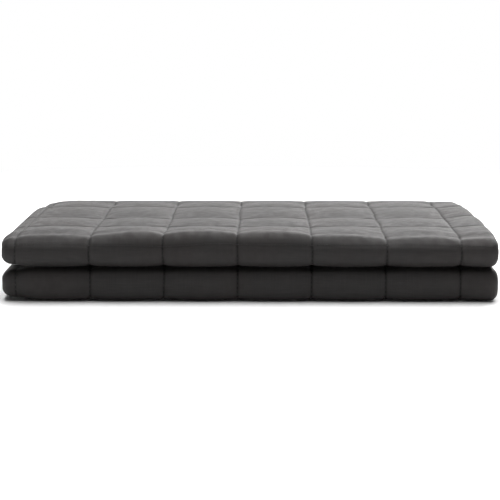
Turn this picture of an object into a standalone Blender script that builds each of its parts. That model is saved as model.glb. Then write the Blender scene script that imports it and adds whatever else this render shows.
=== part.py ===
"""Quilted weighted blanket, folded for a shelf, at real size (metres, +Z up).

The blanket is one piece of cloth with filled pockets. It is doubled across its width, so that the
fold is on the right and both side hems are on the left. The doubled blanket is then folded in four
along its length: each end is turned in towards the middle at the front, and the whole is closed like
a book with its spine at the back. The front shows two rounded bends, one on the other.

The solid is a loft. Its section is the outline of the doubled cloth, seen from the front. The section
is carried along the lengthwise run of the folds, seen from the left. The origin is under the middle
of the folded blanket, +X is to the right along the bends and +Y is to the back.
"""

import math
from collections import namedtuple

import bpy
import numpy as np

NAME = "blanket"

# The cut blanket
WIDTH = 1.524
LENGTH = 2.032
BORDER = 0.025
COLUMNS = 13
ROWS = 17

# The filled cloth and the room between its layers
CLOTH = 0.0122
HEM = 0.0035
LAYER_GAP = 0.0011
BEND_GAP = 0.0010

# The lengthwise folds: straight run between bend and spine, the reach of the spine to the back, and
# how far the folds lie off their even places on the cloth
STRAIGHT = 0.415
SPINE_REACH = 0.090
FOLD_SHIFT = 0.0138
# The top rolls over into its front bend: how far it drops, and over what length
ROLL = 0.0035
ROLL_REACH = 0.080

# The width fold lies a little left of the middle. The hidden inner panel, which is longer, lies a
# little gathered, by this share, so that its hem stays behind the outer panel's
WIDTH_FOLD = WIDTH / 2 - 0.004
GATHERED = 0.983
# How far a pocket's edge takes to rise to full thickness beside a hem
HEM_RISE = 0.035
# How round a pocket is: the power of its rise from the seam
POCKET_POWER = 2.2
# The two panels' end hems lie this share of their usual distance apart
END_SQUEEZE = 0.8

# Worked out from the above
COLUMN = (WIDTH - 2 * BORDER) / COLUMNS
ROW = (LENGTH - 2 * BORDER) / ROWS
HALF_CLOTH = CLOTH / 2
HALF_HEM = HEM / 2
PANEL_OFFSET = (CLOTH + LAYER_GAP) / 2
DOUBLED = 2 * CLOTH + LAYER_GAP
STEP_UP = DOUBLED + BEND_GAP
FRONT_RADIUS = STEP_UP / 2
SPINE_RADIUS = 1.5 * STEP_UP
QUARTER_TURN = PANEL_OFFSET * math.pi / 2
# The outer panel goes round the spine outside the middle of the doubled blanket, so it uses more cloth
SPINE_SLIP = PANEL_OFFSET * math.pi

# Where the rows of points lie between two seams, as shares of a pocket: on a pocket that swells
# freely, and on one that is pressed flat
DOMED = (0.0, 0.12, 0.36, 0.64, 0.88)
PRESSED = (0.0, 0.12, 0.88)
# Such rows keep this far from where two stretches join
CLEAR_OF_JOIN = 0.005
# Steps in a half turn of the width fold, and points that trace a middle line finely
TURN_STEPS = 6
FINE = 8000

# Colours and surface of the cloth
CLOTH_COLOUR = (0.078, 0.074, 0.073, 1.0)
CLOTH_ROUGHNESS = 0.85

# How square the upper and the lower half of a turn's middle line are: 2 for an ellipse. The
# underside lies flat until close to the back.
ROUND_TURN = (2.0, 2.0)
SPINE_TURN = (2.0, 3.0)


def half_turn(reach, radius, powers):
    """Points of a half turn's middle line, y outwards and z up from its middle, top to bottom."""
    angle = np.linspace(0.0, math.pi, FINE)
    power = np.where(angle < math.pi / 2, *powers)
    across, up = np.abs(np.sin(angle)) / reach, np.abs(np.cos(angle)) / radius
    size = (across**power + up**power) ** (-1.0 / power)
    return size * np.sin(angle), size * np.cos(angle)


def length_of(ys, zs):
    """Length of a line through many points."""
    return np.hypot(np.diff(ys), np.diff(zs)).sum()


FRONT_ARC = length_of(*half_turn(FRONT_RADIUS, FRONT_RADIUS, ROUND_TURN))
SPINE_ARC = length_of(*half_turn(SPINE_REACH, SPINE_RADIUS, SPINE_TURN))
TURNED_IN = (LENGTH - 2 * FRONT_ARC - SPINE_ARC - 2 * STRAIGHT) / 2

# The run of the doubled blanket, from its upper end, under the top layer, to its lower end.
# A straight stretch has no radius. Depth is how deep the seams lie, rise is the share of a pocket in
# which its edge swells to full thickness, bent is 1 on a front bend, and rows is the number of steps
# or the shares of a pocket at which the outline stands.
Stretch = namedtuple("Stretch", "name length radius reach depth rise bent rows")
#           name          length      radius        reach         depth    rise  bent  rows
RUN = (
    Stretch("upper end",  TURNED_IN,  0.0,          0.0,          0.0010,  0.5,  0.0,  8),
    Stretch("upper bend", FRONT_ARC,  FRONT_RADIUS, FRONT_RADIUS, 0.0018,  0.4,  1.0,  9),
    Stretch("top",        STRAIGHT,   0.0,          0.0,          0.00435, 0.5,  0.0,  DOMED),
    Stretch("spine",      SPINE_ARC,  SPINE_RADIUS, SPINE_REACH,  0.0020,  0.4,  0.0,  10),
    Stretch("underside",  STRAIGHT,   0.0,          0.0,          0.0020,  0.12, 0.0,  PRESSED),
    Stretch("lower bend", FRONT_ARC,  FRONT_RADIUS, FRONT_RADIUS, 0.0018,  0.4,  1.0,  9),
    Stretch("lower end",  TURNED_IN,  0.0,          0.0,          0.0010,  0.5,  0.0,  8),
)
# The weight of the stack squares the front bends. The power of the outline is 2 for a round one.
#    bend           entering  leaving
SQUARED = {
    "upper bend":  (3.6,      2.1),
    "lower bend":  (2.8,      3.6),
}
JOINS = np.cumsum([0.0] + [stretch.length for stretch in RUN])
TOP_START, SPINE_START = JOINS[2:4]
# The values of two stretches pass into each other over this length
EASE = 0.030

# Heading of the doubled cloth's section at marks along its width, in degrees, on a flat stretch and
# on a front bend. 0 runs to the right, -180 back to the left. The side hems curl in to each other.
Mark = namedtuple("Mark", "place flat bend")
#        place                       flat    bend
SECTION = (
    Mark(0.0,                        70.0,   75.0),
    Mark(0.022,                      4.0,    0.0),
    Mark(0.030,                      0.0,    0.0),
    Mark(WIDTH_FOLD - QUARTER_TURN,  0.0,    0.0),
    Mark(WIDTH_FOLD + QUARTER_TURN,  -180.0, -180.0),
    Mark(WIDTH - 0.032,              -180.0, -180.0),
    Mark(WIDTH - 0.016,              -168.0, -172.0),
    Mark(WIDTH,                      -176.0, -177.0),
)


def smooth(share):
    """Rise from 0 to 1 with level ends."""
    share = np.clip(share, 0.0, 1.0)
    return share * share * (3.0 - 2.0 * share)


def eased(column, along):
    """A column of RUN as a smooth function of the distance along the run."""
    values = [getattr(stretch, column) for stretch in RUN]
    result = np.full_like(along, values[0])
    for join, before, after in zip(JOINS[1:-1], values[:-1], values[1:]):
        result += (after - before) * smooth((along - join) / EASE + 0.5)
    return result


def run_path():
    """Dense middle line of the run: distance, y, z and the outward normal."""
    y, z, way = 0.0, DOUBLED / 2 + 2 * STEP_UP, -1.0
    ys, zs = [np.array([y])], [np.array([z])]
    for stretch in RUN:
        if stretch.radius:
            powers = SPINE_TURN if stretch.name == "spine" else ROUND_TURN
            out, up = half_turn(stretch.reach, stretch.radius, powers)
            ys.append(y + way * out[1:])
            zs.append(z + way * (up[1:] - stretch.radius))
            z -= way * 2 * stretch.radius
            way = -way
        else:
            step = np.linspace(0.0, stretch.length, FINE // 100)[1:]
            ys.append(y + way * step)
            zs.append(np.full_like(step, z))
            y += way * stretch.length
    ys, zs = np.concatenate(ys), np.concatenate(zs)
    along = np.concatenate([[0.0], np.cumsum(np.hypot(np.diff(ys), np.diff(zs)))])
    dy, dz = np.gradient(ys, along), np.gradient(zs, along)
    size = np.hypot(dy, dz)
    return along, ys, zs, -dz / size, dy / size


def section_path(column):
    """Dense middle line of the doubled section: distance, x, offset and its outer normal."""
    places = [mark.place for mark in SECTION]
    headings = [getattr(mark, column) for mark in SECTION]
    across = np.linspace(0.0, WIDTH, FINE)
    heading = np.radians(np.interp(across, places, headings))
    middle = (heading[1:] + heading[:-1]) / 2
    step = across[1] * np.where(across[1:] > WIDTH_FOLD + QUARTER_TURN, GATHERED, 1.0)
    x = np.concatenate([[0.0], np.cumsum(np.cos(middle) * step)])
    offset = np.concatenate([[0.0], np.cumsum(np.sin(middle) * step)])
    fold = x.argmax()
    x -= x[fold]
    offset -= offset[fold]
    return across, x, offset, -np.sin(heading), np.cos(heading)


def pocket(place, pitch, rise):
    """Share of full thickness at a place across the pockets: 0 on a seam, 1 past the rise."""
    share = place / pitch
    edge = np.abs(share - np.round(share))
    return 1.0 - (1.0 - np.clip(edge / rise, 0.0, 1.0)) ** POCKET_POWER


def hem_limit(place, end):
    """Half thickness that the hems allow: thin in the border, swelling beside it."""
    inside = np.minimum(place, end - place) - BORDER
    return HALF_HEM + (HALF_CLOTH - HALF_HEM) * np.sqrt(smooth(inside / HEM_RISE))


def cloth_place(along):
    """Distance along the outer panel's own cloth at a distance along the run."""
    round_spine = np.clip((along - SPINE_START) / SPINE_ARC, 0.0, 1.0)
    return along + FOLD_SHIFT + SPINE_SLIP * round_spine


def roll(along):
    """How far the outer face drops as the top passes into the upper bend."""
    leaving_bend = smooth((along - TOP_START) / (FRONT_ARC / 2) + 1.0)
    return ROLL * leaving_bend * smooth(1.0 - (along - TOP_START) / ROLL_REACH)


def bulge(along):
    """How far a front bend's outer face stands out from a round one, as a superellipse does."""
    result = np.zeros_like(along)
    for stretch, start in zip(RUN, JOINS):
        if stretch.name in SQUARED:
            share = np.clip((along - start) / stretch.length, 0.0, 1.0)
            angle = (share - 0.5) * math.pi
            power = np.where(angle < 0.0, *SQUARED[stretch.name])
            size = (np.abs(np.cos(angle)) ** power + np.abs(np.sin(angle)) ** power) ** (-1.0 / power)
            result += (size - 1.0) * (stretch.radius + DOUBLED / 2)
    return result


def quilted(across, along):
    """Half thickness of the outer panel's outer face, with its pockets and seams."""
    depth = eased("depth", along)
    rise = eased("rise", along)
    swell = pocket(across - BORDER, COLUMN, rise) * pocket(cloth_place(along) - BORDER, ROW, rise)
    return HALF_CLOTH - depth * (1.0 - swell)


def quilting_marks(start, end, shares):
    """Distances along the run at which pocket shares lie, clear of a stretch's two ends."""
    places = BORDER + ROW * np.add.outer(np.arange(ROWS), shares).ravel()
    fine = np.linspace(0.0, LENGTH, FINE)
    marks = np.interp(places, cloth_place(fine), fine)
    return marks[(marks > start + CLEAR_OF_JOIN) & (marks < end - CLEAR_OF_JOIN)]


def run_marks():
    """Distances along the run at which a section stands."""
    hem = np.array([0.0, BORDER, BORDER + HEM_RISE])
    marks = [hem, LENGTH - hem]
    for stretch, start, end in zip(RUN, JOINS[:-1], JOINS[1:]):
        start = max(start, hem[-1])
        end = min(end, LENGTH - hem[-1])
        if isinstance(stretch.rows, int):
            marks.append(np.linspace(start, end, stretch.rows + 1))
        else:
            marks.append(quilting_marks(start, end, stretch.rows))
    return np.unique(np.concatenate(marks).round(7))


def section_marks():
    """Distances across the cloth for the outer face and for the inner face, hem to hem."""
    hem = np.linspace(0.0, BORDER, 4)
    start, end = WIDTH_FOLD - QUARTER_TURN, WIDTH_FOLD + QUARTER_TURN
    quilting = BORDER + COLUMN * np.add.outer(np.arange(COLUMNS // 2 + 1), DOMED).ravel()[1:]
    quilting = quilting[quilting < start - CLEAR_OF_JOIN]
    rise = BORDER + HEM_RISE * np.array([1 / 3, 1.0])
    turn = np.linspace(start, end, TURN_STEPS + 1)
    far_side = [[0.75 * WIDTH], WIDTH - rise[::-1], WIDTH - hem[::-1]]
    outer = np.concatenate([hem, quilting, turn, *far_side])
    inner = np.concatenate([hem, rise, [0.25 * WIDTH], turn[::2], *far_side])
    return outer, inner


def blanket_points():
    """Grid of points: one closed outline of the doubled cloth for each mark along the run."""
    path = run_path()
    flat, bend = section_path("flat"), section_path("bend")
    along = run_marks()
    outer, inner = section_marks()
    across = np.concatenate([outer, inner[::-1]])
    is_outer = np.arange(len(across)) < len(outer)

    bent = eased("bent", along)[:, None]
    x, offset, normal_x, normal_w = [
        (1.0 - bent) * np.interp(across, flat[0], on_flat) + bent * np.interp(across, bend[0], on_bend)
        for on_flat, on_bend in zip(flat[1:], bend[1:])
    ]
    size = np.hypot(normal_x, normal_w)

    grid_along, grid_across = np.meshgrid(along, across, indexing="ij")
    limit = np.minimum(hem_limit(grid_across, WIDTH), hem_limit(grid_along, LENGTH))
    # The quilting shows on the outer face, and fades out round the width fold
    fade = 1.0 - smooth((across - (WIDTH_FOLD - QUARTER_TURN)) / (2 * QUARTER_TURN))
    shown = np.where(is_outer, fade, 0.0)
    half = HALF_CLOTH - (HALF_CLOTH - quilted(grid_across, grid_along)) * shown
    half = np.minimum(half, limit) * np.where(is_outer, 1.0, -1.0)

    # A squared bend thickens the outer panel, but shifts its thin hem as a whole
    in_hem = 1.0 - smooth((across - BORDER) / HEM_RISE)
    offset = offset + bulge(along)[:, None] * np.where(is_outer, fade, in_hem)
    offset = offset - roll(along)[:, None] * shown * (1.0 - in_hem)

    to_end = np.minimum(along, LENGTH - along)[:, None]
    together = END_SQUEEZE + (1.0 - END_SQUEEZE) * smooth(to_end / (BORDER + HEM_RISE))
    x = x + half * normal_x / size
    offset = offset * together + half * normal_w / size
    y, z, out_y, out_z = [np.interp(along, path[0], column)[:, None] for column in path[1:]]
    return np.stack([x, y + out_y * offset, z + out_z * offset], axis=2)


def loft(points):
    """Vertices and faces of the closed loft through a grid of outlines."""
    rows, around, _ = points.shape
    number = np.arange(rows * around).reshape(rows, around)
    following = np.roll(number, -1, axis=1)
    sides = np.stack([number[:-1], following[:-1], following[1:], number[1:]], axis=2).reshape(-1, 4)
    faces = sides.tolist() + [number[0][::-1].tolist(), number[-1].tolist()]
    return points.reshape(-1, 3), faces


def cloth_material():
    """Charcoal brushed cotton."""
    material = bpy.data.materials.new("charcoal cloth")
    material.use_nodes = True
    shader = material.node_tree.nodes["Principled BSDF"]
    shader.inputs["Base Color"].default_value = CLOTH_COLOUR
    shader.inputs["Roughness"].default_value = CLOTH_ROUGHNESS
    shader.inputs["Metallic"].default_value = 0.0
    return material


def main():
    for old in list(bpy.data.objects):
        bpy.data.objects.remove(old, do_unlink=True)
    collection = bpy.data.collections.new("weighted blanket")
    bpy.context.scene.collection.children.link(collection)

    vertices, faces = loft(blanket_points())
    low, high = vertices.min(axis=0), vertices.max(axis=0)
    vertices = vertices - [(low[0] + high[0]) / 2, (low[1] + high[1]) / 2, low[2]]

    mesh = bpy.data.meshes.new(NAME)
    mesh.from_pydata(vertices.tolist(), [], faces)
    mesh.validate()
    mesh.shade_smooth()
    mesh.set_sharp_from_angle(angle=math.radians(40))
    mesh.materials.append(cloth_material())
    collection.objects.link(bpy.data.objects.new(NAME, mesh))


main()
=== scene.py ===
"""Looks of the folded weighted blanket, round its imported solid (metres, +Z up).

The blanket is one padded piece: the same folds as the solid, worked out finely, with swelling
pockets, pinched seams and rolled hems. Its quilting thread is a second piece. Places on the blanket
are given as on the cut cloth: across is the distance from the outer panel's side hem, and along is
the distance from the upper end, both before folding.
"""

import math
from collections import namedtuple

import bpy
import numpy as np
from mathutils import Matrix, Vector


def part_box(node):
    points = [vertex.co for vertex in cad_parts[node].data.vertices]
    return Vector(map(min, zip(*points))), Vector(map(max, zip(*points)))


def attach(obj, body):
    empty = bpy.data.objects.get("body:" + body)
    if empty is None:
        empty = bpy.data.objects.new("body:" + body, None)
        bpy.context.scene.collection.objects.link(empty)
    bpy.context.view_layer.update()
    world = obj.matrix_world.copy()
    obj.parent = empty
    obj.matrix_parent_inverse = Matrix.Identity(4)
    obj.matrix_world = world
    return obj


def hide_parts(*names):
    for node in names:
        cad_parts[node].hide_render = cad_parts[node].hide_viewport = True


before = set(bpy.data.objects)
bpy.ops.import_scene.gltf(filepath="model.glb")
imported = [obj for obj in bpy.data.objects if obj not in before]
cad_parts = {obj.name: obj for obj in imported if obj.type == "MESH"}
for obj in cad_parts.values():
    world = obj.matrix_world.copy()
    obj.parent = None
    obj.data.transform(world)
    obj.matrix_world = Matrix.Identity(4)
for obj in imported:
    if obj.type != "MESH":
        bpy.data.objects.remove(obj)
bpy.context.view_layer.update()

BODY = "root"
SOLID = "blanket"
CLOTH_MAP = "cloth"

# The cut blanket and its pockets
WIDTH = 1.524
LENGTH = 2.032
BORDER = 0.025
COLUMNS = 13
ROWS = 17
COLUMN = (WIDTH - 2 * BORDER) / COLUMNS
ROW = (LENGTH - 2 * BORDER) / ROWS
# Columns on the outer panel, the last of them running on round the width fold
SHOWN_COLUMNS = 7

# The filled cloth and the room between its layers
CLOTH = 0.0122
HEM = 0.0035
HEM_PUFF = 0.0010
LAYER_GAP = 0.0011
BEND_GAP = 0.0010
HALF_CLOTH = CLOTH / 2
HALF_HEM = HEM / 2
PANEL_OFFSET = (CLOTH + LAYER_GAP) / 2
DOUBLED = 2 * CLOTH + LAYER_GAP

# The folds
STRAIGHT = 0.415
SPINE_REACH = 0.090
FOLD_SHIFT = 0.0138
STEP_UP = DOUBLED + BEND_GAP
FRONT_RADIUS = STEP_UP / 2
SPINE_RADIUS = 1.5 * STEP_UP
WIDTH_FOLD = WIDTH / 2 - 0.004
QUARTER_TURN = PANEL_OFFSET * math.pi / 2
SPINE_SLIP = PANEL_OFFSET * math.pi
GATHERED = 0.983
HEM_RISE = 0.035
END_SQUEEZE = 0.8
# Points that trace a curved middle line, and a straight one
FINE = 8000
STRAIGHT_POINTS = 80


def smooth(share):
    """Rise from 0 to 1 with level ends."""
    share = np.clip(share, 0.0, 1.0)
    return share * share * (3.0 - 2.0 * share)


# ---------------------------------------------------------------------------------------------
# The folds: a doubled section carried along the lengthwise run


# How square the upper and the lower half of a turn's middle line are: 2 for an ellipse
ROUND_TURN = (2.0, 2.0)
SPINE_TURN = (2.0, 3.0)


def half_turn(reach, radius, powers):
    """Points of a half turn's middle line, y outwards and z up from its middle, top to bottom.

    A superellipse in polar form: at each angle, the distance from the middle is
    ((sine / reach) to the power + (cosine / radius) to the power) to the power -1 / power."""
    angle = np.linspace(0.0, math.pi, FINE)
    power = np.where(angle < math.pi / 2, *powers)
    across, up = np.abs(np.sin(angle)) / reach, np.abs(np.cos(angle)) / radius
    size = (across**power + up**power) ** (-1.0 / power)
    return size * np.sin(angle), size * np.cos(angle)


def length_of(ys, zs):
    """Length of a line through many points."""
    return np.hypot(np.diff(ys), np.diff(zs)).sum()


FRONT_ARC = length_of(*half_turn(FRONT_RADIUS, FRONT_RADIUS, ROUND_TURN))
SPINE_ARC = length_of(*half_turn(SPINE_REACH, SPINE_RADIUS, SPINE_TURN))
TURNED_IN = (LENGTH - 2 * FRONT_ARC - SPINE_ARC - 2 * STRAIGHT) / 2

# A straight stretch has no radius. Depth is how deep the seams lie below full height, crease is how
# deep the stitching pinches them in, and bent is 1 on a front bend
Stretch = namedtuple("Stretch", "name length radius reach depth crease bent")
#           name          length      radius        reach         depth    crease   bent
RUN = (
    Stretch("upper end",  TURNED_IN,  0.0,          0.0,          0.0010,  0.0002,  0.0),
    Stretch("upper bend", FRONT_ARC,  FRONT_RADIUS, FRONT_RADIUS, 0.0024,  0.0020,  1.0),
    Stretch("top",        STRAIGHT,   0.0,          0.0,          0.0054,  0.0022,  0.0),
    Stretch("spine",      SPINE_ARC,  SPINE_RADIUS, SPINE_REACH,  0.0024,  0.0010,  0.0),
    Stretch("underside",  STRAIGHT,   0.0,          0.0,          0.0020,  0.0006,  0.0),
    Stretch("lower bend", FRONT_ARC,  FRONT_RADIUS, FRONT_RADIUS, 0.0020,  0.0020,  1.0),
    Stretch("lower end",  TURNED_IN,  0.0,          0.0,          0.0010,  0.0002,  0.0),
)
# The weight of the stack squares the front bends, and does so differently in their side hems. The
# power of the outline is 2 for a round one. A bend is entered and left in the order of RUN.
#    bend           entering  leaving
SQUARED = {
    "upper bend":  (2.3,      2.1),
    "lower bend":  (3.6,      2.7),
}
SQUARED_HEM = {
    "upper bend":  (2.9,      2.1),
    "lower bend":  (2.5,      2.7),
}
JOINS = np.cumsum([0.0] + [stretch.length for stretch in RUN])
TOP_START, SPINE_START = JOINS[2:4]
# The values of two stretches pass into each other over this length
EASE = 0.030

# Heading of the doubled section at marks along its width, in degrees, on a flat stretch and on a
# front bend. 0 runs to the right, -180 back to the left. The side hems curl in to each other.
Mark = namedtuple("Mark", "place flat bend")
#        place                       flat    bend
SECTION = (
    Mark(0.0,                        48.0,   75.0),
    Mark(0.022,                      4.0,    0.0),
    Mark(0.030,                      0.0,    0.0),
    Mark(WIDTH_FOLD - QUARTER_TURN,  0.0,    0.0),
    Mark(WIDTH_FOLD + QUARTER_TURN,  -180.0, -180.0),
    Mark(WIDTH - 0.032,              -180.0, -180.0),
    Mark(WIDTH - 0.016,              -168.0, -172.0),
    Mark(WIDTH,                      -176.0, -177.0),
)


def eased(column, along):
    """A column of RUN as a smooth function of the distance along the run."""
    values = [getattr(stretch, column) for stretch in RUN]
    result = np.full_like(along, values[0])
    for join, before, after in zip(JOINS[1:-1], values[:-1], values[1:]):
        result += (after - before) * smooth((along - join) / EASE + 0.5)
    return result


def run_path():
    """Dense middle line of the run: distance, y, z and the outward normal.

    Straight stretches go forwards and back in turn, with a half turn between them. The normal is
    the direction of travel turned a quarter turn outwards."""
    y, z, way = 0.0, DOUBLED / 2 + 2 * STEP_UP, -1.0
    ys, zs = [np.array([y])], [np.array([z])]
    for stretch in RUN:
        if stretch.radius:
            powers = SPINE_TURN if stretch.name == "spine" else ROUND_TURN
            out, up = half_turn(stretch.reach, stretch.radius, powers)
            ys.append(y + way * out[1:])
            zs.append(z + way * (up[1:] - stretch.radius))
            z -= way * 2 * stretch.radius
            way = -way
        else:
            step = np.linspace(0.0, stretch.length, STRAIGHT_POINTS)[1:]
            ys.append(y + way * step)
            zs.append(np.full_like(step, z))
            y += way * stretch.length
    ys, zs = np.concatenate(ys), np.concatenate(zs)
    along = np.concatenate([[0.0], np.cumsum(np.hypot(np.diff(ys), np.diff(zs)))])
    dy, dz = np.gradient(ys, along), np.gradient(zs, along)
    size = np.hypot(dy, dz)
    return along, ys, zs, -dz / size, dy / size


def section_path(column):
    """Dense middle line of the doubled section: distance, x, offset and its outer normal.

    The heading runs evenly between the marks, and x and offset are the running sums of its cosine
    and sine. The inner panel's steps are shortened by its gathers."""
    places = [mark.place for mark in SECTION]
    headings = [getattr(mark, column) for mark in SECTION]
    across = np.linspace(0.0, WIDTH, FINE)
    heading = np.radians(np.interp(across, places, headings))
    middle = (heading[1:] + heading[:-1]) / 2
    step = across[1] * np.where(across[1:] > WIDTH_FOLD + QUARTER_TURN, GATHERED, 1.0)
    x = np.concatenate([[0.0], np.cumsum(np.cos(middle) * step)])
    offset = np.concatenate([[0.0], np.cumsum(np.sin(middle) * step)])
    fold = x.argmax()
    return across, x - x[fold], offset - offset[fold], -np.sin(heading), np.cos(heading)


def cloth_place(along):
    """Distance along the outer panel's own cloth at a distance along the run."""
    round_spine = np.clip((along - SPINE_START) / SPINE_ARC, 0.0, 1.0)
    return along + FOLD_SHIFT + SPINE_SLIP * round_spine


# How far the top drops towards its front bend, by the place across, how much further it hangs at its
# nose, just before the bend, and how much is taken off the bend's corner. The filling lies unevenly:
# the middle pockets stand full, above the even height, and those at both ends hang over the front.
Shoulder = namedtuple("Shoulder", "place drop nose corner")
#            place  drop     nose    corner
SHOULDERS = (
    Shoulder(0.01,  -0.0024, 0.0052, 0.0022),
    Shoulder(0.10,  -0.0026, 0.0050, 0.0022),
    Shoulder(0.16,  -0.0030, 0.0038, 0.0020),
    Shoulder(0.22,  -0.0048, 0.0015, 0.0014),
    Shoulder(0.32,  -0.0048, 0.0009, 0.0014),
    Shoulder(0.45,  -0.0040, 0.0012, 0.0014),
    Shoulder(0.51,  -0.0010, 0.0028, 0.0018),
    Shoulder(0.58,  0.0006,  0.0044, 0.0022),
    Shoulder(0.70,  0.0008,  0.0046, 0.0022),
    Shoulder(0.74,  0.0018,  0.0052, 0.0022),
)
# The drop and the nose come on between these distances from the bend, the nose ending inside it
DROP_START, DROP_FULL = 0.098, 0.012
NOSE_START, NOSE_FULL = 0.034, -0.004
# The top sags along one row of stitches, except by its sides, and falls away towards the spine
SAG_ROW = 6
SAG = 0.0033
SAG_REACH = 0.045
SAG_END = 0.090
BACK_ROW = 7
BACK_DROP = 0.0045
BACK_REACH = 0.075
# Its two back corners hang lower still
BACK_CORNER = 0.0035
BACK_CORNER_REACH = 0.070


def droop(across, along):
    """How far the top's outer face hangs below its even height. It comes on smoothly in two steps
    before the upper bend, takes a squared sine off the bend's corner, is a bell along the row that
    sags, and falls smoothly to the back and its corners."""
    before = along - TOP_START
    in_corner = np.clip(1.0 + before / (FRONT_ARC / 2), 0.0, 1.0)
    places, *sizes = zip(*SHOULDERS)
    drop, nose, corner = [np.interp(across, places, size) for size in sizes]
    front = drop * smooth((DROP_START - before) / (DROP_START - DROP_FULL))
    front = front + nose * smooth((NOSE_START - before) / (NOSE_START - NOSE_FULL))
    front = front * smooth(in_corner) + corner * np.sin(math.pi * in_corner) ** 2
    cloth = cloth_place(along) - BORDER
    to_side = np.minimum(across, WIDTH_FOLD - across)
    row = SAG * np.exp(-(((cloth - SAG_ROW * ROW) / SAG_REACH) ** 2)) * smooth(to_side / SAG_END)
    before_spine = 1.0 - smooth((along - SPINE_START) / (SPINE_ARC / 2))
    at_back = smooth((cloth - BACK_ROW * ROW) / BACK_REACH) * before_spine
    back = at_back * (BACK_DROP + BACK_CORNER * (1.0 - smooth(to_side / BACK_CORNER_REACH)))
    return front + row + back


def bulge(along, squared):
    """How far a front bend's outer face stands out from a round one, as a superellipse does:
    (|cos a| to the power p + |sin a| to the power p) to the power -1/p, less 1, times the radius."""
    result = np.zeros_like(along)
    for stretch, start in zip(RUN, JOINS):
        if stretch.name in squared:
            share = np.clip((along - start) / stretch.length, 0.0, 1.0)
            angle = (share - 0.5) * math.pi
            power = np.where(angle < 0.0, *squared[stretch.name])
            size = (np.abs(np.cos(angle)) ** power + np.abs(np.sin(angle)) ** power) ** (-1.0 / power)
            result += (size - 1.0) * (stretch.radius + DOUBLED / 2)
    return result


def outer_share(across):
    """1 on the outer panel, falling to 0 round the width fold."""
    return 1.0 - smooth((across - (WIDTH_FOLD - QUARTER_TURN)) / (2 * QUARTER_TURN))


# The width fold on the right and the side hems on the left stand out a little, and are drawn in
# round the spine
RIGHT_SWELL = 0.0030
LEFT_SWELL = 0.0010
SIDE_REACH = 0.045
DRAWN_IN = 0.0060
RIGHT_DRAWN_REACH = 0.30
LEFT_DRAWN_REACH = 0.080


def side_shift(x, along):
    """How far points move to the right for the swelling sides and for the spine's round corners."""
    right = smooth(1.0 + x / SIDE_REACH)
    left = smooth(1.0 - (x + WIDTH_FOLD) / SIDE_REACH)
    from_spine = np.abs(along - SPINE_START - SPINE_ARC / 2) - SPINE_ARC / 2
    drawn_right = DRAWN_IN * (1.0 - smooth(from_spine / RIGHT_DRAWN_REACH))
    drawn_left = DRAWN_IN * (1.0 - smooth(from_spine / LEFT_DRAWN_REACH))
    return (RIGHT_SWELL - drawn_right) * right - (LEFT_SWELL - drawn_left) * left


# The weight above presses the lower bend and what lies behind it together by this much
SETTLED = 0.0020

PATH = run_path()
FLAT_SECTION = section_path("flat")
BENT_SECTION = section_path("bend")


def folded(across, along, half, outer):
    """Points of the folded blanket: the section's middle line, moved out by half along its normal,
    then set out from the run's middle line along the run's normal. The first three inputs are grids
    of one shape, and outer says which face they are on."""
    bent = eased("bent", along)
    x, offset, normal_x, normal_w = [
        (1.0 - bent) * np.interp(across, FLAT_SECTION[0], on_flat)
        + bent * np.interp(across, BENT_SECTION[0], on_bend)
        for on_flat, on_bend in zip(FLAT_SECTION[1:], BENT_SECTION[1:])
    ]
    size = np.hypot(normal_x, normal_w)
    in_hem = 1.0 - smooth((across - BORDER) / HEM_RISE)
    squared = (1.0 - in_hem) * bulge(along, SQUARED) + in_hem * bulge(along, SQUARED_HEM)
    moves_out = squared - droop(across, along)
    offset = offset + moves_out * np.where(outer, outer_share(across), in_hem)
    to_end = np.minimum(along, LENGTH - along)
    together = END_SQUEEZE + (1.0 - END_SQUEEZE) * smooth(to_end / (BORDER + HEM_RISE))
    x = x + half * normal_x / size
    x = x + side_shift(x, along)
    offset = offset * together + half * normal_w / size
    y, z, out_y, out_z = [np.interp(along, PATH[0], column) for column in PATH[1:]]
    y, z = y + out_y * offset, z + out_z * offset
    z = z - SETTLED * smooth(z / (2 * STEP_UP))
    return np.stack([x, y, z], axis=-1)


# ---------------------------------------------------------------------------------------------
# The quilting


def seam_shares(place, pitch):
    """The number of the nearest seam, and the signed distance to it."""
    share = (place - BORDER) / pitch
    nearest = np.round(share)
    return nearest.astype(int), (share - nearest) * pitch


# A pocket is a tent at a power of 1, and the fuller the higher this is
POCKET_POWER = 2.2


def pocket(distance, pitch):
    """Share of full height at a distance from the seam: 1 - (1 - 2 d / pitch) to the power."""
    return 1.0 - (1.0 - np.clip(2.0 * np.abs(distance) / pitch, 0.0, 1.0)) ** POCKET_POWER


# The outer panel's cloth, worked out flat: steps of its grid to a pocket and to the border, and the
# rows of stitches between which it is made
STEPS = 22
BORDER_STEPS = 5
FIRST_ROW, LAST_ROW = 3, 14
# The cloth is this much too large for its seams, by which the filling swells it up and small folds
# form along the stitches
OVERSIZE = 0.010
# The push of a full pocket, the least share of it that a pocket has, and the number of pockets each
# way for which that share is drawn
FILLING_PUSH = 4.0
LEAST_FILLED = 0.55
DRAWN_POCKETS = 20
FILLING_SEED = 1
# How stiffly the cloth stretches and bends, the frames of its simulation, and how far any point of
# it may move
STIFFNESS = 15.0
BENDING = 5.0
FRAMES = 20
FARTHEST = 0.016
# It starts this uneven, in waves of these lengths
START_UNEVEN = 0.0001
START_WAVES = (0.022, 0.030, 0.041, 0.060, 0.090)
START_SEED = 1
# Rows of stitches that are drawn smooth round the front bends
SMOOTHED_ROWS = (4, 13)
# How high the swollen pockets stand in that flat cloth, and how much of its unevenness is kept
DOME = 0.0071
WRINKLED = 0.3

Panel = namedtuple("Panel", "across cloth height sideways lengthways")


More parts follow.
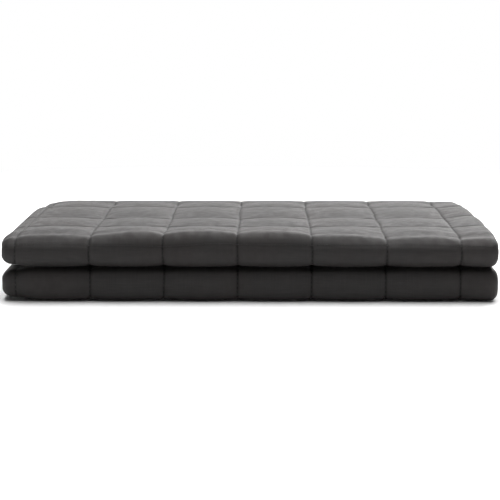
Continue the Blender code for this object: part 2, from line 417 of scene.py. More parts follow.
def ripples(across, cloth, lengths, seed):
    """Small unevenness: a sum of waves in seeded directions, four of each length."""
    random = np.random.default_rng(seed)
    result = np.zeros_like(across)
    for length in np.repeat(lengths, 4):
        turn, phase = random.uniform(0.0, 2 * math.pi, 2)
        place = across * math.cos(turn) + cloth * math.sin(turn)
        result += np.sin(2 * math.pi * place / length + phase)
    return result


def panel_grid():
    """Places of the flat panel's grid points, and which of them the stitching holds."""
    border = np.linspace(0.0, BORDER, BORDER_STEPS + 1)[:-1]
    across = np.concatenate([border, BORDER + COLUMN / STEPS * np.arange(SHOWN_COLUMNS * STEPS + 1)])
    cloth = BORDER + ROW / STEPS * np.arange(FIRST_ROW * STEPS, LAST_ROW * STEPS + 1)
    row = np.arange(FIRST_ROW * STEPS, LAST_ROW * STEPS + 1)
    in_row = (row % STEPS == 0) & ~np.isin(row // STEPS, SMOOTHED_ROWS)
    column = np.arange(len(across)) - BORDER_STEPS
    in_column = (column % STEPS == 0) | (column < 0)
    return across, cloth, in_row[:, None] | in_column[None, :]


def plain_panel():
    """The panel with pockets that are all alike: their height is pocket() each way, multiplied."""
    across, cloth, _ = panel_grid()
    row, beside_row = seam_shares(cloth, ROW)
    over_rows = np.where(np.isin(row, SMOOTHED_ROWS), 1.0, pocket(beside_row, ROW))
    height = DOME * over_rows[:, None] * pocket(seam_shares(across, COLUMN)[1], COLUMN)
    height[:, : BORDER_STEPS + 1] = 0.0
    return Panel(across, cloth, height, np.zeros_like(height), np.zeros_like(height))


def filling_shares(across, cloth):
    """How full the pocket at each place is, drawn at random for each pocket."""
    random = np.random.default_rng(FILLING_SEED)
    shares = random.uniform(LEAST_FILLED, 1.0, (DRAWN_POCKETS, DRAWN_POCKETS))
    row = np.clip((cloth - BORDER) / ROW, 0, DRAWN_POCKETS - 1).astype(int)
    column = np.clip((across - BORDER) / COLUMN, 0, DRAWN_POCKETS - 1).astype(int)
    return shares[row, column]


def simulated(piece):
    """Places of a piece's points after a cloth simulation, in which its seams hold still and the
    filling pushes it up."""
    cloth_modifier = piece.modifiers.new("cloth", "CLOTH")
    settings = cloth_modifier.settings
    settings.vertex_group_mass = "seams"
    settings.use_pressure = True
    settings.uniform_pressure_force = FILLING_PUSH
    settings.vertex_group_pressure = "filling"
    settings.shrink_min = -OVERSIZE
    settings.tension_stiffness = STIFFNESS
    settings.compression_stiffness = STIFFNESS
    settings.bending_stiffness = BENDING
    settings.effector_weights.gravity = 0.0
    cloth_modifier.point_cache.frame_end = FRAMES
    for frame_number in range(1, FRAMES + 1):
        bpy.context.scene.frame_set(frame_number)
    evaluated = piece.evaluated_get(bpy.context.evaluated_depsgraph_get())
    places = np.empty(len(piece.data.vertices) * 3, dtype=np.float32)
    evaluated.data.vertices.foreach_get("co", places)
    return places


def sewn_panel():
    """The panel from a cloth simulation: held along every seam, a little too large for them, and
    pushed up from below, harder in some pockets than in others. Much of it is evened out again."""
    across, cloth, held = panel_grid()
    flat_across, flat_cloth = np.meshgrid(across, cloth)
    start = START_UNEVEN * ripples(flat_across, flat_cloth, START_WAVES, START_SEED)
    level = np.zeros_like(start)
    flat = np.stack([flat_across, flat_cloth, level], axis=-1)
    begun = flat + np.stack([level, level, np.where(held, 0.0, start)], axis=-1)
    number = np.arange(held.size).reshape(held.shape)
    faces = np.stack([number[:-1, :-1], number[:-1, 1:], number[1:, 1:], number[1:, :-1]], axis=-1)
    mesh = bpy.data.meshes.new("flat panel")
    mesh.from_pydata(begun.reshape(-1, 3), [], faces.reshape(-1, 4).tolist())
    piece = bpy.data.objects.new("flat panel", mesh)
    bpy.context.scene.collection.objects.link(piece)

    piece.vertex_groups.new(name="seams").add(number[held].tolist(), 1.0, "REPLACE")
    filling = piece.vertex_groups.new(name="filling")
    share = filling_shares(flat_across, flat_cloth)
    for value in np.unique(share):
        filling.add(number[share == value].tolist(), float(value), "REPLACE")

    moved = np.clip(simulated(piece).reshape(flat.shape) - flat, -FARTHEST, FARTHEST)
    bpy.data.objects.remove(piece)
    bpy.data.meshes.remove(mesh)
    bpy.context.scene.frame_set(1)
    even = plain_panel().height
    height = even + WRINKLED * (moved[..., 2] - even)
    return Panel(across, cloth, height, WRINKLED * moved[..., 0], WRINKLED * moved[..., 1])


PANEL_CLOTH = sewn_panel()


def sampled(field, across, cloth):
    """A field of the panel between its grid points, blended along both directions."""
    column = np.interp(across, PANEL_CLOTH.across, np.arange(len(PANEL_CLOTH.across)))
    row = np.interp(cloth, PANEL_CLOTH.cloth, np.arange(len(PANEL_CLOTH.cloth)))
    left = np.minimum(column.astype(int), field.shape[1] - 2)
    below = np.minimum(row.astype(int), field.shape[0] - 2)
    right_share, upper_share = column - left, row - below
    near = field[below, left] * (1.0 - right_share) + field[below, left + 1] * right_share
    far = field[below + 1, left] * (1.0 - right_share) + field[below + 1, left + 1] * right_share
    return near * (1.0 - upper_share) + far * upper_share


# The seams wander from their straight lines by about this much, in waves of these lengths
WANDER = 0.00025
WANDER_ACROSS, WANDER_ACROSS_SEED = (0.13, 0.24), 7
WANDER_ALONG, WANDER_ALONG_SEED = (0.12, 0.21), 8
# Stitches that are drawn round a front bend leave a faint line
FAINT_LINE = 0.0007
FAINT_REACH = 0.0045
# How far from a seam its pinch reaches, and how much deeper it is along a column
CREASE_REACH = 0.0022
COLUMN_PINCH = 1.25
# The cloth is pulled smooth towards the width fold: how much shallower its seams are there
FOLD_PULL = 0.6
FOLD_PULL_REACH = 0.050
# Share of its roundness at which a rolled edge starts, as it has some thickness at its very rim
RIM = 0.05


def hem_limit(place, end):
    """Half thickness that the hems allow: a rolled edge, thin in the border, swelling beside it."""
    inside = np.minimum(place, end - place)
    swell = HALF_HEM + (HALF_CLOTH - HALF_HEM) * np.sqrt(smooth((inside - BORDER) / HEM_RISE))
    swell = swell + HEM_PUFF * np.sin(math.pi * np.clip(inside / BORDER, 0.0, 1.0))
    rolled = np.sqrt(1.0 - (1.0 - np.clip(inside / HALF_HEM, RIM, 1.0)) ** 2)
    return swell * rolled


def half_thickness(across, along):
    """Half thickness of the outer panel's outer face: full in the middle of a usual pocket, less the
    depth of the seams where the panel lies low, and pinched in by the stitching, which dies away as
    e to the power -distance / reach."""
    cloth = cloth_place(along)
    beside_column = np.abs(seam_shares(across, COLUMN)[1])
    row, beside_row = seam_shares(cloth, ROW)
    depth, crease = [eased(name, along) for name in ("depth", "crease")]
    depth = depth * (1.0 - FOLD_PULL * smooth((across - WIDTH_FOLD) / FOLD_PULL_REACH + 1.0))
    low = 1.0 - sampled(PANEL_CLOTH.height, across, cloth) / DOME
    drawn_smooth = np.isin(row, SMOOTHED_ROWS)
    pinch_column = COLUMN_PINCH * np.exp(-beside_column / CREASE_REACH)
    pinch_row = np.where(drawn_smooth, 0.0, np.exp(-np.abs(beside_row) / CREASE_REACH))
    faint = np.where(drawn_smooth, FAINT_LINE * np.exp(-((beside_row / FAINT_REACH) ** 2)), 0.0)
    return HALF_CLOTH - depth * low - crease * np.maximum(pinch_column, pinch_row) - faint


def outer_point(across, along, raised=0.0):
    """Points of the outer face, at the given places on the sewn cloth and raised above it. The cloth
    between the seams is shifted sideways as its small folds need, and the seams wander a little."""
    cloth = cloth_place(along)
    shown = outer_share(across)
    limit = np.minimum(hem_limit(across, WIDTH), hem_limit(along, LENGTH))
    half = HALF_CLOTH - (HALF_CLOTH - half_thickness(across, along)) * shown
    inside = smooth(np.minimum(across, along) / BORDER) * shown
    lie = eased("depth", along) / DOME * inside
    wander = WANDER * inside
    moved_across = across + lie * sampled(PANEL_CLOTH.sideways, across, cloth)
    moved_along = along + lie * sampled(PANEL_CLOTH.lengthways, across, cloth)
    moved_across = moved_across + wander * ripples(across, cloth, WANDER_ACROSS, WANDER_ACROSS_SEED)
    moved_along = moved_along + wander * ripples(across, cloth, WANDER_ALONG, WANDER_ALONG_SEED)
    return folded(moved_across, moved_along, np.minimum(half, limit) + raised, True)


# ---------------------------------------------------------------------------------------------
# The meshes

# Distances from a seam at which points stand, then even steps to the middle of the pocket
BESIDE_SEAM = (0.0, 0.0011, 0.0025, 0.0044, 0.0070, 0.0102)
EVEN_STEP = 0.0038
# Distances from a side hem and from an end hem at which points stand
SIDE_MARKS = (0.0, 0.0003, 0.0008, HALF_HEM, 0.004, 0.008, 0.012, 0.016, 0.020, 0.0228, 0.0242)
END_MARKS = (0.0, 0.0003, 0.0008, HALF_HEM, 0.008, 0.016, BORDER, 0.035, 0.060)
# Shares of the rise out of a hem at which they stand on a hidden face
RISE_MARKS = (0.0, 0.1, 0.25, 0.5, 1.0)
# Points round the width fold, of which a hidden face has one in HIDDEN_EVERY, and points between a
# hem and the fold on the outer panel's hidden face and on the inner panel
FOLD_POINTS = 21
HIDDEN_EVERY = 4
HIDDEN_OUTER, HIDDEN_INNER = 4, 5
# How far apart the outlines stand along each stretch of the run, away from the seams on the top
OUTLINE_STEP = {
    "upper end": 0.030,
    "upper bend": 0.0016,
    "top": EVEN_STEP,
    "spine": 0.0042,
    "underside": 0.010,
    "lower bend": 0.0016,
    "lower end": 0.030,
}


def pocket_marks(pitch):
    """Distances within one pocket, fine beside its two seams and even between them."""
    count = int(round((pitch / 2 - BESIDE_SEAM[-1]) / EVEN_STEP))
    half = np.concatenate([BESIDE_SEAM[:-1], np.linspace(BESIDE_SEAM[-1], pitch / 2, count + 1)])
    return np.unique(np.concatenate([half, pitch - half[1:]]).round(9))[:-1]


def seam_marks(pitch, start, end):
    """Such distances for all the pockets between two places on the cloth."""
    marks = (BORDER + pitch * np.arange(ROWS)[:, None] + pocket_marks(pitch)).ravel()
    return marks[(marks > start + EVEN_STEP / 2) & (marks < end - EVEN_STEP / 2)]


def between(start, end, count):
    """Evenly spaced distances between two others."""
    return np.linspace(start, end, count + 2)[1:-1]


def across_marks():
    """Distances across the cloth for the outer face and for the inner face, hem to hem."""
    edge = np.array(SIDE_MARKS)
    start, end = WIDTH_FOLD - QUARTER_TURN, WIDTH_FOLD + QUARTER_TURN
    turn = np.linspace(start, end, FOLD_POINTS)
    rise = BORDER + HEM_RISE * np.array(RISE_MARKS)
    beyond = [between(end, WIDTH - rise[-1], HIDDEN_INNER), WIDTH - rise[::-1], WIDTH - edge[::-1]]
    outer = [edge, seam_marks(COLUMN, BORDER - EVEN_STEP, start), turn]
    inner = [edge, rise, between(rise[-1], start, HIDDEN_OUTER), turn[::HIDDEN_EVERY]]
    return np.concatenate(outer + beyond), np.concatenate(inner + beyond)


def along_marks():
    """Distances along the run at which an outline stands, fine where the quilting shows."""
    edge = np.array(END_MARKS)
    marks = [edge, LENGTH - edge]
    fine = np.linspace(0.0, LENGTH, FINE)
    cloth = cloth_place(fine)
    for stretch, start, end in zip(RUN, JOINS[:-1], JOINS[1:]):
        start, end = max(start, edge[-1]), min(end, LENGTH - edge[-1])
        step = OUTLINE_STEP[stretch.name]
        if stretch.radius:
            marks.append(np.linspace(start, end, int((end - start) / step) + 1))
        elif stretch.name == "top":
            wanted = seam_marks(ROW, *np.interp([start, end], fine, cloth))
            marks.append(np.interp(wanted, cloth, fine))
        else:
            marks.append(np.arange(start, end, step))
    return np.unique(np.concatenate(marks).round(7))


def blanket_surface():
    """Points of the blanket, one closed outline for each mark along the run, and their cloth places.
    Those of the inner face follow on those of the outer face, up to twice the width."""
    outer, inner = across_marks()
    along = along_marks()
    across = np.concatenate([outer, inner[::-1]])
    is_outer = np.arange(len(across)) < len(outer)
    along, across = np.meshgrid(along, across, indexing="ij")
    limit = np.minimum(hem_limit(across, WIDTH), hem_limit(along, LENGTH))
    inner_face = folded(across, along, -np.minimum(HALF_CLOTH, limit), False)
    points = np.where(is_outer[None, :, None], outer_point(across, along), inner_face)
    places = np.stack([np.where(is_outer, across, 2 * WIDTH - across), cloth_place(along)], axis=-1)
    return points, places


def closed_tube(points):
    """Faces of the closed loft through a grid of outlines, with both ends capped."""
    rows, around = points.shape[:2]
    number = np.arange(rows * around).reshape(rows, around)
    following = np.roll(number, -1, axis=1)
    sides = np.stack([number[:-1], following[:-1], following[1:], number[1:]], axis=2).reshape(-1, 4)
    return sides.tolist() + [number[0][::-1].tolist(), number[-1].tolist()]


def tube_map(places):
    """Cloth places of the corners of such faces. Round the outline, the last face ends at twice the
    width and not at 0."""
    closing = places[:, :1] + [2 * WIDTH, 0.0]
    places = np.concatenate([places, closing], axis=1)
    sides = np.stack([places[:-1, :-1], places[:-1, 1:], places[1:, 1:], places[1:, :-1]], axis=2)
    return np.concatenate([sides.reshape(-1, 2), places[0, :-1][::-1], places[-1, :-1]])


def seat_shift(points):
    """Shift that sets the folded blanket on its solid: its right side, front and underside."""
    low, high = points.reshape(-1, 3).min(axis=0), points.reshape(-1, 3).max(axis=0)
    solid_low, solid_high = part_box(SOLID)
    right = solid_high.x + RIGHT_SWELL - high[0]
    return np.array([right, solid_low.y - low[1], solid_low.z - low[2]])


def new_piece(name, points, faces, corners, material):
    """A mesh piece that rides on the body, with its material. The corners of its faces carry
    their places on the cloth."""
    mesh = bpy.data.meshes.new(name)
    mesh.from_pydata(points.reshape(-1, 3), [], faces)
    mesh.uv_layers.new(name=CLOTH_MAP).uv.foreach_set("vector", corners.ravel().astype(np.float32))
    mesh.shade_smooth()
    mesh.materials.append(material)
    piece = bpy.data.objects.new(name, mesh)
    bpy.context.scene.collection.objects.link(piece)
    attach(piece, BODY)
    return piece


# ---------------------------------------------------------------------------------------------
# The quilting thread

STITCH_PITCH = 0.0042
STITCH_LENGTH = 0.0034
THREAD_RADIUS = 0.00038
THREAD_SIDES = 5
# Rings along a stitch: their share of its length, their share of the radius, and how high they lie
Ring = namedtuple("Ring", "share size raised")
RINGS = (
    Ring(0.00, 0.45, -0.0005),
    Ring(0.30, 1.00, 0.0002),
    Ring(0.70, 1.00, 0.0002),
    Ring(1.00, 0.45, -0.0005),
)


def stitch_starts():
    """Where each stitch starts, across and along the cloth, and its length in both directions. They
    run down every line beside a column and along every line beside a row, from the start of the
    upper bend to the end of the lower one."""
    first, last = cloth_place(JOINS[1]), cloth_place(JOINS[-2])
    lines = BORDER + COLUMN * np.arange(SHOWN_COLUMNS)
    down = np.arange(first, last, STITCH_PITCH)
    rows = BORDER + ROW * np.arange(ROWS + 1)
    rows = rows[(rows > first) & (rows < last)]
    over = np.arange(BORDER, WIDTH_FOLD + QUARTER_TURN, STITCH_PITCH)
    column_across, column_cloth = [grid.ravel() for grid in np.meshgrid(lines, down)]
    row_across, row_cloth = [grid.ravel() for grid in np.meshgrid(over, rows)]
    across = np.concatenate([column_across, row_across])
    cloth = np.concatenate([column_cloth, row_cloth])
    runs_down = np.arange(len(across)) < len(column_across)
    return across, cloth, STITCH_LENGTH * ~runs_down, STITCH_LENGTH * runs_down


def unit(vectors):
    """Vectors of length 1 with the same headings."""
    return vectors / np.linalg.norm(vectors, axis=-1, keepdims=True)


def stitched_thread():
    """Points, faces and cloth places of all the stitches. Each is a short closed tube: rings about a
    line that rises out of the seam and dips back into it."""
    across, cloth, step_across, step_cloth = stitch_starts()
    share, size, raised = np.array(RINGS).T
    across = across[:, None] + share * step_across[:, None]
    cloth = cloth[:, None] + share * step_cloth[:, None]
    fine = np.linspace(0.0, LENGTH, FINE)
    along = np.interp(cloth, cloth_place(fine), fine)
    line = outer_point(across, along, raised)
    reach = THREAD_RADIUS
    over = outer_point(across + reach, along, raised) - outer_point(across - reach, along, raised)
    down = outer_point(across, along + reach, raised) - outer_point(across, along - reach, raised)
    heading = unit(np.gradient(line, axis=1))
    side = unit(np.cross(heading, np.cross(down, over)))
    up = np.cross(side, heading)
    angle = 2 * math.pi * np.arange(THREAD_SIDES) / THREAD_SIDES
    out = np.cos(angle)[:, None] * side[:, :, None] + np.sin(angle)[:, None] * up[:, :, None]
    points = line[:, :, None] + THREAD_RADIUS * size[:, None, None] * out

    number = np.arange(points[..., 0].size).reshape(points.shape[:3])
    following = np.roll(number, -1, axis=2)
    walls = np.stack([number[:, :-1], number[:, 1:], following[:, 1:], following[:, :-1]], axis=-1)
    walls = walls.reshape(-1, 4)
    starts, ends = number[:, 0], number[:, -1, ::-1]
    faces = walls.tolist() + starts.tolist() + ends.tolist()
    turn = np.broadcast_to(angle, points.shape[:3]) * THREAD_RADIUS
    length = np.broadcast_to((share * STITCH_LENGTH)[:, None], points.shape[:3])
    places = np.stack([turn, length], axis=-1).reshape(-1, 2)
    corners = places[np.concatenate([walls.ravel(), starts.ravel(), ends.ravel()])]
    return points, faces, corners


# ---------------------------------------------------------------------------------------------
# Finishes


class Value:
    """A shader number. Its operators add Math nodes."""

    def __init__(self, nodes, socket):
        self.nodes = nodes
        self.socket = socket

    def __add__(self, other):
        return self.nodes.math("ADD", self, other)

    def __sub__(self, other):
        return self.nodes.math("SUBTRACT", self, other)

    def __rsub__(self, other):
        return self.nodes.math("SUBTRACT", other, self)

    def __mul__(self, other):
        return self.nodes.math("MULTIPLY", self, other)

    def __truediv__(self, other):
        return self.nodes.math("DIVIDE", self, other)


class Nodes:
    """The node tree of one material or world. add() makes any node: its type, its settings, then
    the values or links of its sockets, in order or by name. It returns one output, the first unless
    another is named."""

    def __init__(self, tree):
        self.tree = tree

    def add(self, kind, settings, *inputs, output=0, **named):
        node = self.tree.nodes.new(kind)
        for name, setting in settings.items():
            setattr(node, name, setting)
        for key, value in [*enumerate(inputs), *named.items()]:
            key = key.replace("_", " ") if isinstance(key, str) else key
            self.give(node.inputs[key], value)
        return Value(self, node.outputs[output])

    def give(self, socket, value):
        """Sets a socket to a number, or links it to a value."""
        if isinstance(value, Value):
            self.tree.links.new(value.socket, socket)
        else:
            socket.default_value = value

    def smooth(self, value, low, high, start=0.0, end=1.0):
        """Level ends and a smooth rise from start to end as value goes from low to high."""
        settings = {"interpolation_type": "SMOOTHSTEP"}
        return self.add("ShaderNodeMapRange", settings, value, low, high, start, end)

    def math(self, operation, *values):
        """A Math node, also for what has no operator."""
        return self.add("ShaderNodeMath", {"operation": operation}, *values)

    def parts(self, vector):
        """The first two parts of a vector."""
        split = self.tree.nodes.new("ShaderNodeSeparateXYZ")
        self.give(split.inputs[0], vector)
        return Value(self, split.outputs[0]), Value(self, split.outputs[1])

    def noise(self, place, across, along, detail=2.0):
        """Smooth noise from 0 to 1 whose lumps have these sizes across and along."""
        sized = self.add("ShaderNodeMapping", {}, place, Scale=(1.0 / across, 1.0 / along, 1.0))
        settings = {"noise_dimensions": "2D"}
        return self.add("ShaderNodeTexNoise", settings, Vector=sized, Scale=1.0, Detail=detail)

    def blend(self, share, first, second):
        """From the first colour to the second as share goes from 0 to 1."""
        node = self.tree.nodes.new("ShaderNodeMix")
        node.data_type = "RGBA"
        # The sockets of the colour mix come after those of the other kinds
        for number, value in ((0, share), (6, first), (7, second)):
            self.give(node.inputs[number], value)
        return Value(self, node.outputs[2])


# Charcoal where the filling presses the cloth out and the brushed nap lies open, and where it lies
# close. Patches of it look warmer
OPEN_NAP = (0.0270, 0.0257, 0.0254, 1.0)
CLOSE_NAP = (0.0193, 0.0185, 0.0185, 1.0)
WARM_PATCH = (0.0262, 0.0231, 0.0225, 1.0)
# Painted shade laid into the cloth along the seam creases, then the thread's own colour
PAINTED_SEAM_SHADE = (0.0050, 0.0049, 0.0050, 1.0)
THREAD_COLOUR = (0.010, 0.0097, 0.0098, 1.0)
# Colour of the sheen and the gloss, and how both materials shine
WARM_SHINE = (1.0, 0.955, 0.945, 1.0)
SHEEN_ROUGHNESS = 0.2
SPECULAR_LEVEL = 0.35
CLOTH_ROUGHNESS, CLOTH_SHEEN = 0.72, 0.078
THREAD_ROUGHNESS, THREAD_SHEEN = 0.5, 0.05
# The weave's repeat, the length and width of its thick threads, and the sizes of the nap's lumps
# and of its warm patches
WEAVE = 0.0009
SLUB_LENGTH = 0.030
SLUB_WIDTH = 0.0011
NAP_ACROSS, NAP_ALONG = 0.012, 0.009
NAP_DETAIL = 4.0
PATCH = 0.11
# Noise levels between which one look passes into the other: closed nap into open, plain into warm,
# and the smoother roughness into the rougher
NAP_LEVELS = (0.36, 0.64)
PATCH_LEVELS = (0.42, 0.68)
ROUGH_LEVELS = (0.3, 0.7)
NAP_ROUGHNESS = (0.66, 0.80)
# Shares of the thick threads and of the nap in that look, and the strength of the patches
SLUB_SHARE, NAP_SHARE = 0.6, 0.4
PATCH_STRENGTH = 0.6
# Half widths of the painted shade along a seam's crease, the share of it that is quite dark, its
# strength, and how much of it, and of the puckers, the rows lose that are drawn smooth
COLUMN_SHADE_WIDTH = 0.0018
ROW_SHADE_WIDTH = 0.0030
SHADE_CORE = 0.3
SEAM_SHADE_STRENGTH = 0.8
SMOOTHED_LOSS = 0.75
# Where the small puckers beside a seam start and end, and how long they are
PUCKER_START = 0.003
PUCKER_REACH = 0.013
PUCKER_LENGTH = 0.009
# Heights of the fine relief
WEAVE_HEIGHT = 0.00004
SLUB_HEIGHT = 0.00022
NAP_HEIGHT = 0.00020
PUCKER_HEIGHT = 0.0007
RELIEF_STRENGTH = 0.8
# Length of a turn of the thread's ply, and the height and strength of its relief
PLY = 2.4 * THREAD_RADIUS
PLY_HEIGHT = 0.0001
PLY_STRENGTH = 0.6


def new_material(name, roughness, sheen):
    """A material, its nodes and its shader."""
    material = bpy.data.materials.new(name)
    material.use_nodes = True
    shader = material.node_tree.nodes["Principled BSDF"]
    shader.inputs["Roughness"].default_value = roughness
    shader.inputs["Sheen Weight"].default_value = sheen
    shader.inputs["Sheen Roughness"].default_value = SHEEN_ROUGHNESS
    shader.inputs["Sheen Tint"].default_value = WARM_SHINE
    shader.inputs["Specular IOR Level"].default_value = SPECULAR_LEVEL
    shader.inputs["Specular Tint"].default_value = WARM_SHINE
    return material, Nodes(material.node_tree), shader


def seam_nearness(nodes, place, pitch):
    """The number of the nearest seam, and the distance to it, as shader values."""
    share = (place - BORDER) / pitch
    nearest = nodes.math("ROUND", share)
    return nearest, nodes.math("ABSOLUTE", share - nearest) * pitch


def seam_shade_mask(nodes, distance, width):
    """1 in a seam, falling to 0 at this distance from it: the mask of the painted seam shade."""
    return 1.0 - nodes.smooth(distance, SHADE_CORE * width, width)


def beside_seam(nodes, distance):
    """0 in a seam, 1 a little way out, and 0 again where its puckers end."""
    near = 1.0 - nodes.smooth(distance, 0.0, PUCKER_REACH)
    return near * nodes.smooth(distance, 0.0, PUCKER_START)


def cloth_material():
    """Brushed cotton: a plain weave, sine by sine, with thick threads both ways, patches of nap,
    painted shade darkening the seam creases, and small puckers across the seams."""
    material, nodes, shader = new_material("charcoal_cloth", CLOTH_ROUGHNESS, CLOTH_SHEEN)
    place = nodes.add("ShaderNodeUVMap", {"uv_map": CLOTH_MAP})
    across, along = nodes.parts(place)

    turns = 2 * math.pi / WEAVE
    weave = nodes.math("SINE", across * turns) * nodes.math("SINE", along * turns)
    slubs_over = nodes.noise(place, SLUB_LENGTH, SLUB_WIDTH)
    slubs_down = nodes.noise(place, SLUB_WIDTH, SLUB_LENGTH)
    slubs = (slubs_over + slubs_down) * 0.5
    patches = nodes.noise(place, PATCH, PATCH)
    nap = nodes.noise(place, NAP_ACROSS, NAP_ALONG, detail=NAP_DETAIL)

    _, column_distance = seam_nearness(nodes, across, COLUMN)
    row, row_distance = seam_nearness(nodes, along, ROW)
    upper, lower = [nodes.math("COMPARE", row, number, 0.5) for number in SMOOTHED_ROWS]
    full_line = 1.0 - (upper + lower) * SMOOTHED_LOSS
    column_shade = seam_shade_mask(nodes, column_distance, COLUMN_SHADE_WIDTH)
    row_shade = seam_shade_mask(nodes, row_distance, ROW_SHADE_WIDTH) * full_line
    line = nodes.math("MAXIMUM", column_shade, row_shade)

    opened = nodes.smooth(slubs * SLUB_SHARE + nap * NAP_SHARE, *NAP_LEVELS)
    warm = nodes.smooth(patches, *PATCH_LEVELS) * PATCH_STRENGTH
    charcoal = nodes.blend(opened, CLOSE_NAP, OPEN_NAP)
    charcoal = nodes.blend(warm, charcoal, WARM_PATCH)
    # Painted shade: the cloth colour is darkened along the seam creases
    charcoal = nodes.blend(line * SEAM_SHADE_STRENGTH, charcoal, PAINTED_SEAM_SHADE)
    nodes.give(shader.inputs["Base Color"], charcoal)
    nodes.give(shader.inputs["Roughness"], nodes.smooth(nap, *ROUGH_LEVELS, *NAP_ROUGHNESS))

    near_column = beside_seam(nodes, column_distance)
    near_row = beside_seam(nodes, row_distance) * full_line
    puckers = nodes.noise(place, 4 * PUCKER_LENGTH, PUCKER_LENGTH) * near_column
    puckers = puckers + nodes.noise(place, PUCKER_LENGTH, 4 * PUCKER_LENGTH) * near_row
    height = weave * WEAVE_HEIGHT + slubs * SLUB_HEIGHT + nap * NAP_HEIGHT + puckers * PUCKER_HEIGHT
    bump = nodes.add("ShaderNodeBump", {}, Strength=RELIEF_STRENGTH, Distance=1.0, Height=height)
    nodes.give(shader.inputs["Normal"], bump)
    return material


def thread_material():
    """Twisted polyester: dark, a little glossier than the cloth, with its ply in the bump."""
    material, nodes, shader = new_material("quilting_thread", THREAD_ROUGHNESS, THREAD_SHEEN)
    shader.inputs["Base Color"].default_value = THREAD_COLOUR
    place = nodes.add("ShaderNodeUVMap", {"uv_map": CLOTH_MAP})
    turn, length = nodes.parts(place)
    ply = nodes.math("SINE", (turn + length) * (2 * math.pi / PLY))
    bump = nodes.add("ShaderNodeBump", {}, Strength=PLY_STRENGTH, Distance=PLY_HEIGHT, Height=ply)
    nodes.give(shader.inputs["Normal"], bump)
    return material


# ---------------------------------------------------------------------------------------------
# The stage

PIXELS = 500
FOCAL = 1550.0
SENSOR = 36.0
CAMERA_PLACE = (0.0198, -2.594, 0.4555)
CAMERA_PITCH = 9.169
CAMERA_TURN = 0.437

# The floor passes into the white of the room between these distances from the middle
FLOOR_FADE = 0.9
FLOOR_REACH = 1.7
FLOOR_COLOUR = (0.92, 0.92, 0.92, 1.0)
FLOOR_ROUGHNESS = 0.9
# Light of the room by direction: white up to the low height, none above the high one
WHITE = (1.0, 1.0, 1.0, 1.0)
ROOM_LIGHT = 1.0
SKY_LIGHT = 0.0
LOW, HIGH = 0.08, 0.22
# Soft lamps, brightest from behind, which show the nap and the pockets at the camera's low angle
Lamp = namedtuple("Lamp", "name place target size power")
#        name            place             target            size        power
LAMPS = (
    Lamp("behind",       (0.0, 3.0, 1.6),  (0.0, 0.0, 0.1),  (3.4, 1.2), 76.0),
    Lamp("behind right", (1.8, 2.6, 1.6),  (0.0, 0.0, 0.1),  (1.6, 1.2), 76.0),
    Lamp("high back",    (0.0, 1.8, 2.4),  (0.0, 0.0, 0.0),  (3.0, 1.4), 14.0),
    Lamp("overhead",     (0.0, 0.6, 2.4),  (0.0, 0.0, 0.0),  (2.4, 1.6), 71.0),
    Lamp("top",          (0.0, -0.2, 2.4), (0.0, -0.1, 0.0), (2.4, 2.0), 36.0),
)


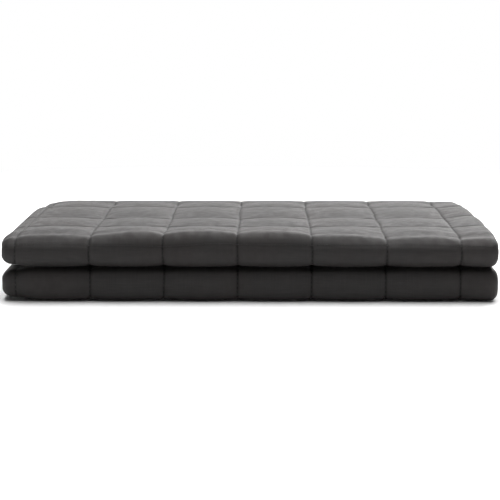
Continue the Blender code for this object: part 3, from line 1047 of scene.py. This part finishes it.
def floor():
    """A pale square floor, white like the room at its edge."""
    corners = FLOOR_REACH * np.array([(-1, -1, 0), (1, -1, 0), (1, 1, 0), (-1, 1, 0)])
    mesh = bpy.data.meshes.new("floor")
    mesh.from_pydata(corners, [], [(0, 1, 2, 3)])
    material = bpy.data.materials.new("pale_floor")
    material.use_nodes = True
    shader = material.node_tree.nodes["Principled BSDF"]
    shader.inputs["Base Color"].default_value = FLOOR_COLOUR
    shader.inputs["Roughness"].default_value = FLOOR_ROUGHNESS
    nodes = Nodes(material.node_tree)
    place = nodes.add("ShaderNodeTexCoord", {}, output="Object")
    distance = nodes.add("ShaderNodeVectorMath", {"operation": "LENGTH"}, place, output="Value")
    white = nodes.add("ShaderNodeEmission", {})
    share = nodes.smooth(distance, FLOOR_FADE, FLOOR_REACH)
    mixed = nodes.add("ShaderNodeMixShader", {}, share, Value(nodes, shader.outputs[0]), white)
    nodes.give(material.node_tree.nodes["Material Output"].inputs["Surface"], mixed)
    mesh.materials.append(material)
    piece = bpy.data.objects.new("floor", mesh)
    bpy.context.scene.collection.objects.link(piece)


def room_light():
    """Light from all round: white below and a little above the floor's edge, and none above that,
    where the lamps are."""
    world = bpy.data.worlds.new("studio")
    bpy.context.scene.world = world
    world.use_nodes = True
    nodes = Nodes(world.node_tree)
    background = world.node_tree.nodes["Background"]
    split = world.node_tree.nodes.new("ShaderNodeSeparateXYZ")
    nodes.give(split.inputs[0], nodes.add("ShaderNodeTexCoord", {}))
    height = Value(nodes, split.outputs["Z"])
    nodes.give(background.inputs["Strength"], nodes.smooth(height, LOW, HIGH, ROOM_LIGHT, SKY_LIGHT))
    background.inputs["Color"].default_value = WHITE


def softbox(name, place, target, size, power):
    """A soft rectangular lamp at a place, facing a target."""
    light = bpy.data.lights.new(name, "AREA")
    light.shape = "RECTANGLE"
    light.size, light.size_y = size
    light.energy = power
    piece = bpy.data.objects.new(name, light)
    piece.location = place
    piece.rotation_euler = (Vector(target) - Vector(place)).to_track_quat("-Z", "Y").to_euler()
    piece.visible_camera = False
    bpy.context.scene.collection.objects.link(piece)


def camera():
    """The photograph's view: a long lens, a little above the blanket."""
    data = bpy.data.cameras.new("camera")
    data.sensor_width = SENSOR
    data.lens = FOCAL * SENSOR / PIXELS
    piece = bpy.data.objects.new("camera", data)
    piece.location = CAMERA_PLACE
    piece.rotation_euler = (math.radians(90.0 - CAMERA_PITCH), 0.0, math.radians(CAMERA_TURN))
    bpy.context.scene.collection.objects.link(piece)
    bpy.context.scene.camera = piece


def stage():
    """The floor, the lights and the camera."""
    floor()
    room_light()
    for lamp in LAMPS:
        softbox(*lamp)
    camera()
    bpy.context.scene.view_settings.view_transform = "Standard"


def main():
    """The blanket and its thread, set on the solid, and the stage."""
    points, places = blanket_surface()
    shift = seat_shift(points)
    faces, corners = closed_tube(points), tube_map(places)
    blanket = new_piece("quilted_cloth", points + shift, faces, corners, cloth_material())
    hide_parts(SOLID)
    stitches, faces, corners = stitched_thread()
    new_piece("quilting_thread", stitches + shift, faces, corners, thread_material())
    stage()


main()
